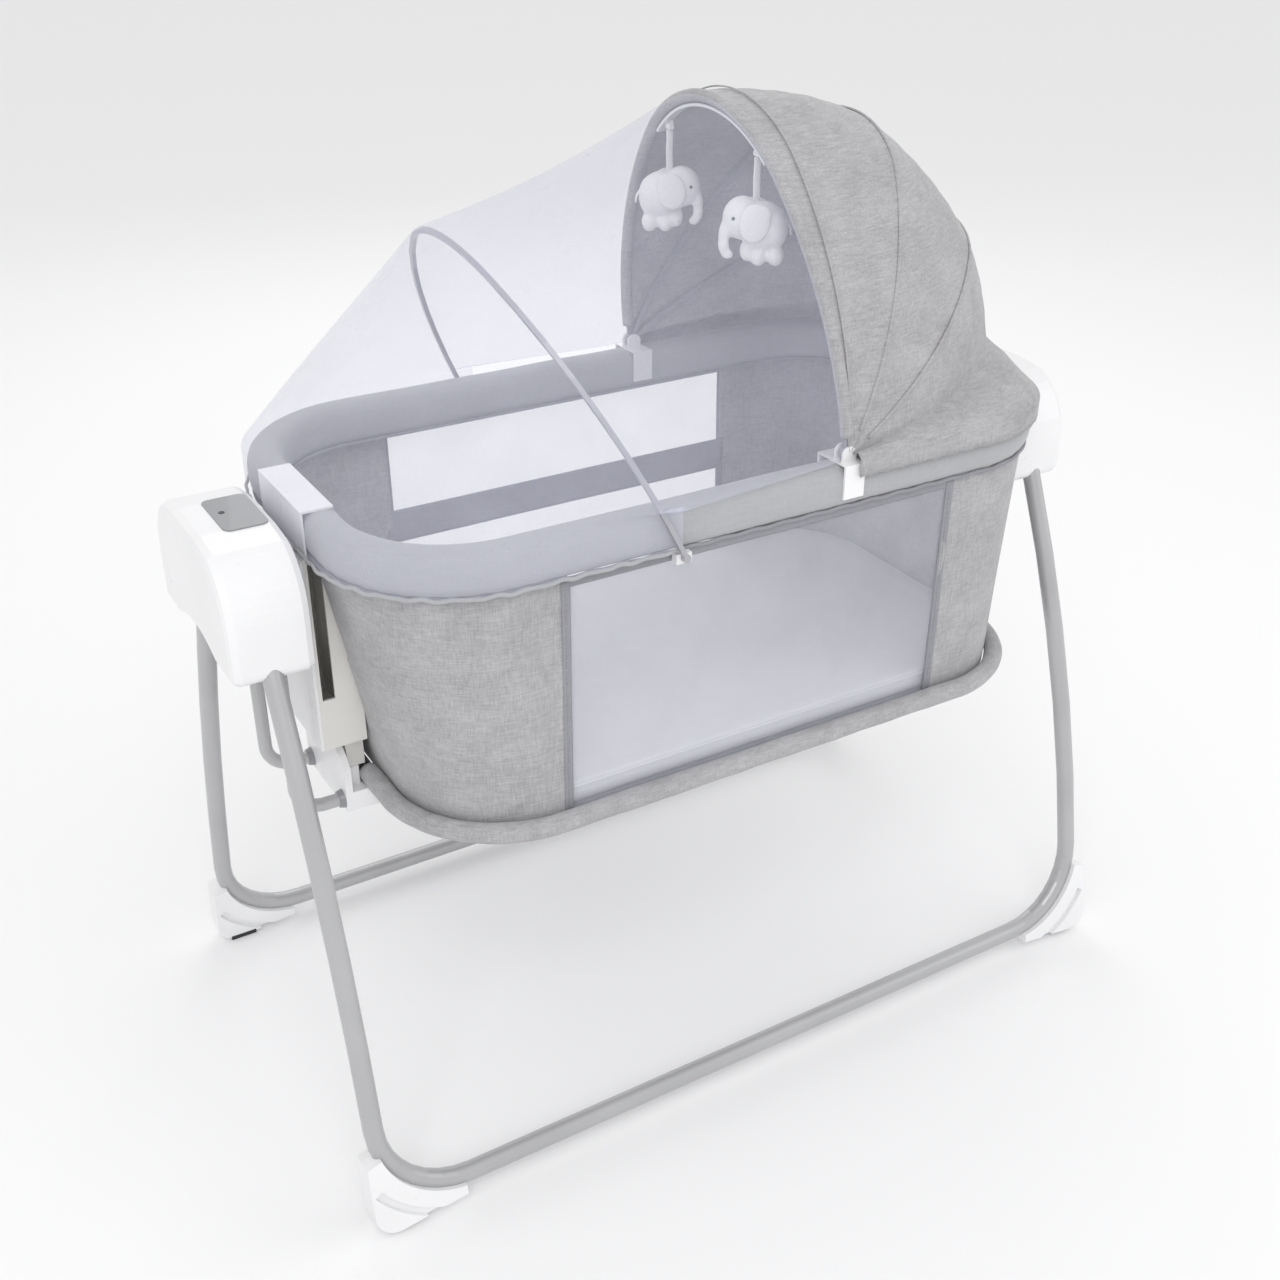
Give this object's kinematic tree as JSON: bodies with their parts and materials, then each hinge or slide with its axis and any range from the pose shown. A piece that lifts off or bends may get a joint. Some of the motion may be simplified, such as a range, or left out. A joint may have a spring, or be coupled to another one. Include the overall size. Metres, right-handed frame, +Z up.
{
  "type": "baby swing",
  "caption": "Electric baby swing: fabric bassinet with folding canopy, net on a wire hoop and hanging toys, slung on tube arms from a four-legged tube stand.",
  "frame": {"origin": "on the floor at the centre of the stand", "axes": "+X from the foot end to the head end, +Y to the rear side, +Z up"},
  "size_m": [1.082, 0.602, 1.0956],
  "materials": {
    "tube_paint": "satin",
    "white_plastic": "satin",
    "cream_plastic": "satin",
    "grey_plastic": "matte",
    "dark_plastic": "matte",
    "rubber": "matte",
    "steel": "satin",
    "copper": "satin",
    "board": "matte",
    "fabric": "matte",
    "mesh": "matte",
    "net": "matte",
    "white_fabric": "matte"
  },
  "bodies": {
    "stand": {"leg_front_left": "tube_paint", "leg_front_right": "tube_paint", "leg_rear_left": "tube_paint", "leg_rear_right": "tube_paint", "foot_front_left": "white_plastic", "foot_front_right": "white_plastic", "foot_rear_left": "white_plastic", "foot_rear_right": "white_plastic", "foot_pads": "rubber", "hub_left_cover": "white_plastic", "hub_left_housing": "white_plastic", "hub_right_cover": "white_plastic", "hub_right_housing": "white_plastic", "control_panel": "grey_plastic", "ir_window": "dark_plastic", "control_board": "board", "drive_coil": "copper", "power_inlet": "dark_plastic", "hub_screws": "steel", "axles": "steel"},
    "cradle": {"bearings": "steel", "arm_block_left": "white_plastic", "arm_block_right": "white_plastic", "drive_magnet": "steel", "arm_left_front": "tube_paint", "arm_left_rear": "tube_paint", "arm_right_front": "tube_paint", "arm_right_rear": "tube_paint", "arm_collars": "grey_plastic", "end_bracket_left": "white_plastic", "end_bracket_right": "white_plastic", "end_post_left": "cream_plastic", "end_post_right": "cream_plastic", "post_cover": "white_plastic", "ring_tube": "steel", "ring_sleeve": "fabric", "rim_tube": "steel", "rim_pad": "fabric", "rim_end_cover": "white_plastic", "wall_foot": "fabric", "wall_head": "fabric", "mesh_front": "mesh", "mesh_rear": "mesh", "window_trims": "fabric", "floor_board": "dark_plastic", "mattress": "white_fabric", "canopy_clips": "white_plastic", "canopy_base": "fabric", "hoop_clips": "white_plastic", "net": "net"},
    "canopy_bow_low": {"bow_low": "grey_plastic", "canopy_middle": "fabric"},
    "canopy_bow_mid": {"bow_mid": "grey_plastic", "canopy_front": "fabric"},
    "canopy_bow_front": {"bow_front": "grey_plastic", "toy_bar": "white_plastic"},
    "toy_a": {"toy_front": "white_fabric"},
    "toy_b": {"toy_rear": "white_fabric"},
    "hoop": {"net_hoop": "tube_paint"}
  },
  "joints": [
    {"name": "swing", "type": "hinge", "parent": "stand", "child": "cradle", "pos_m": [0, 0, 0.68], "axis": [1, 0, 0], "range_deg": [-12, 12]},
    {"name": "canopy_fold", "type": "hinge", "parent": "cradle", "child": "canopy_bow_front", "pos_m": [0.105, 0, 0.757], "axis": [0, 1, 0], "range_deg": [0, 78]},
    {"name": "canopy_fold_mid", "type": "hinge", "parent": "cradle", "child": "canopy_bow_mid", "pos_m": [0.105, 0, 0.757], "axis": [0, 1, 0], "range_deg": [0, 52.1], "deforming": ["canopy_front"]},
    {"name": "canopy_fold_low", "type": "hinge", "parent": "cradle", "child": "canopy_bow_low", "pos_m": [0.105, 0, 0.757], "axis": [0, 1, 0], "range_deg": [0, 26.1], "deforming": ["canopy_middle", "canopy_base"]},
    {"name": "toy_swing_front", "type": "hinge", "parent": "canopy_bow_front", "child": "toy_a", "pos_m": [0.07491, -0.086, 1.04332], "axis": [0, 1, 0], "range_deg": [-25, 25]},
    {"name": "toy_swing_rear", "type": "hinge", "parent": "canopy_bow_front", "child": "toy_b", "pos_m": [0.07491, 0.086, 1.04332], "axis": [0, 1, 0], "range_deg": [-25, 25]},
    {"name": "hoop_fold", "type": "hinge", "parent": "cradle", "child": "hoop", "pos_m": [-0.108, 0, 0.696], "axis": [0, 1, 0], "range_deg": [-10, 48], "deforming": ["net"]}
  ],
  "couplings": [
    {"joint": "canopy_fold_mid", "follows": "canopy_fold", "ratio": 0.66667},
    {"joint": "canopy_fold_low", "follows": "canopy_fold", "ratio": 0.33333}
  ]
}
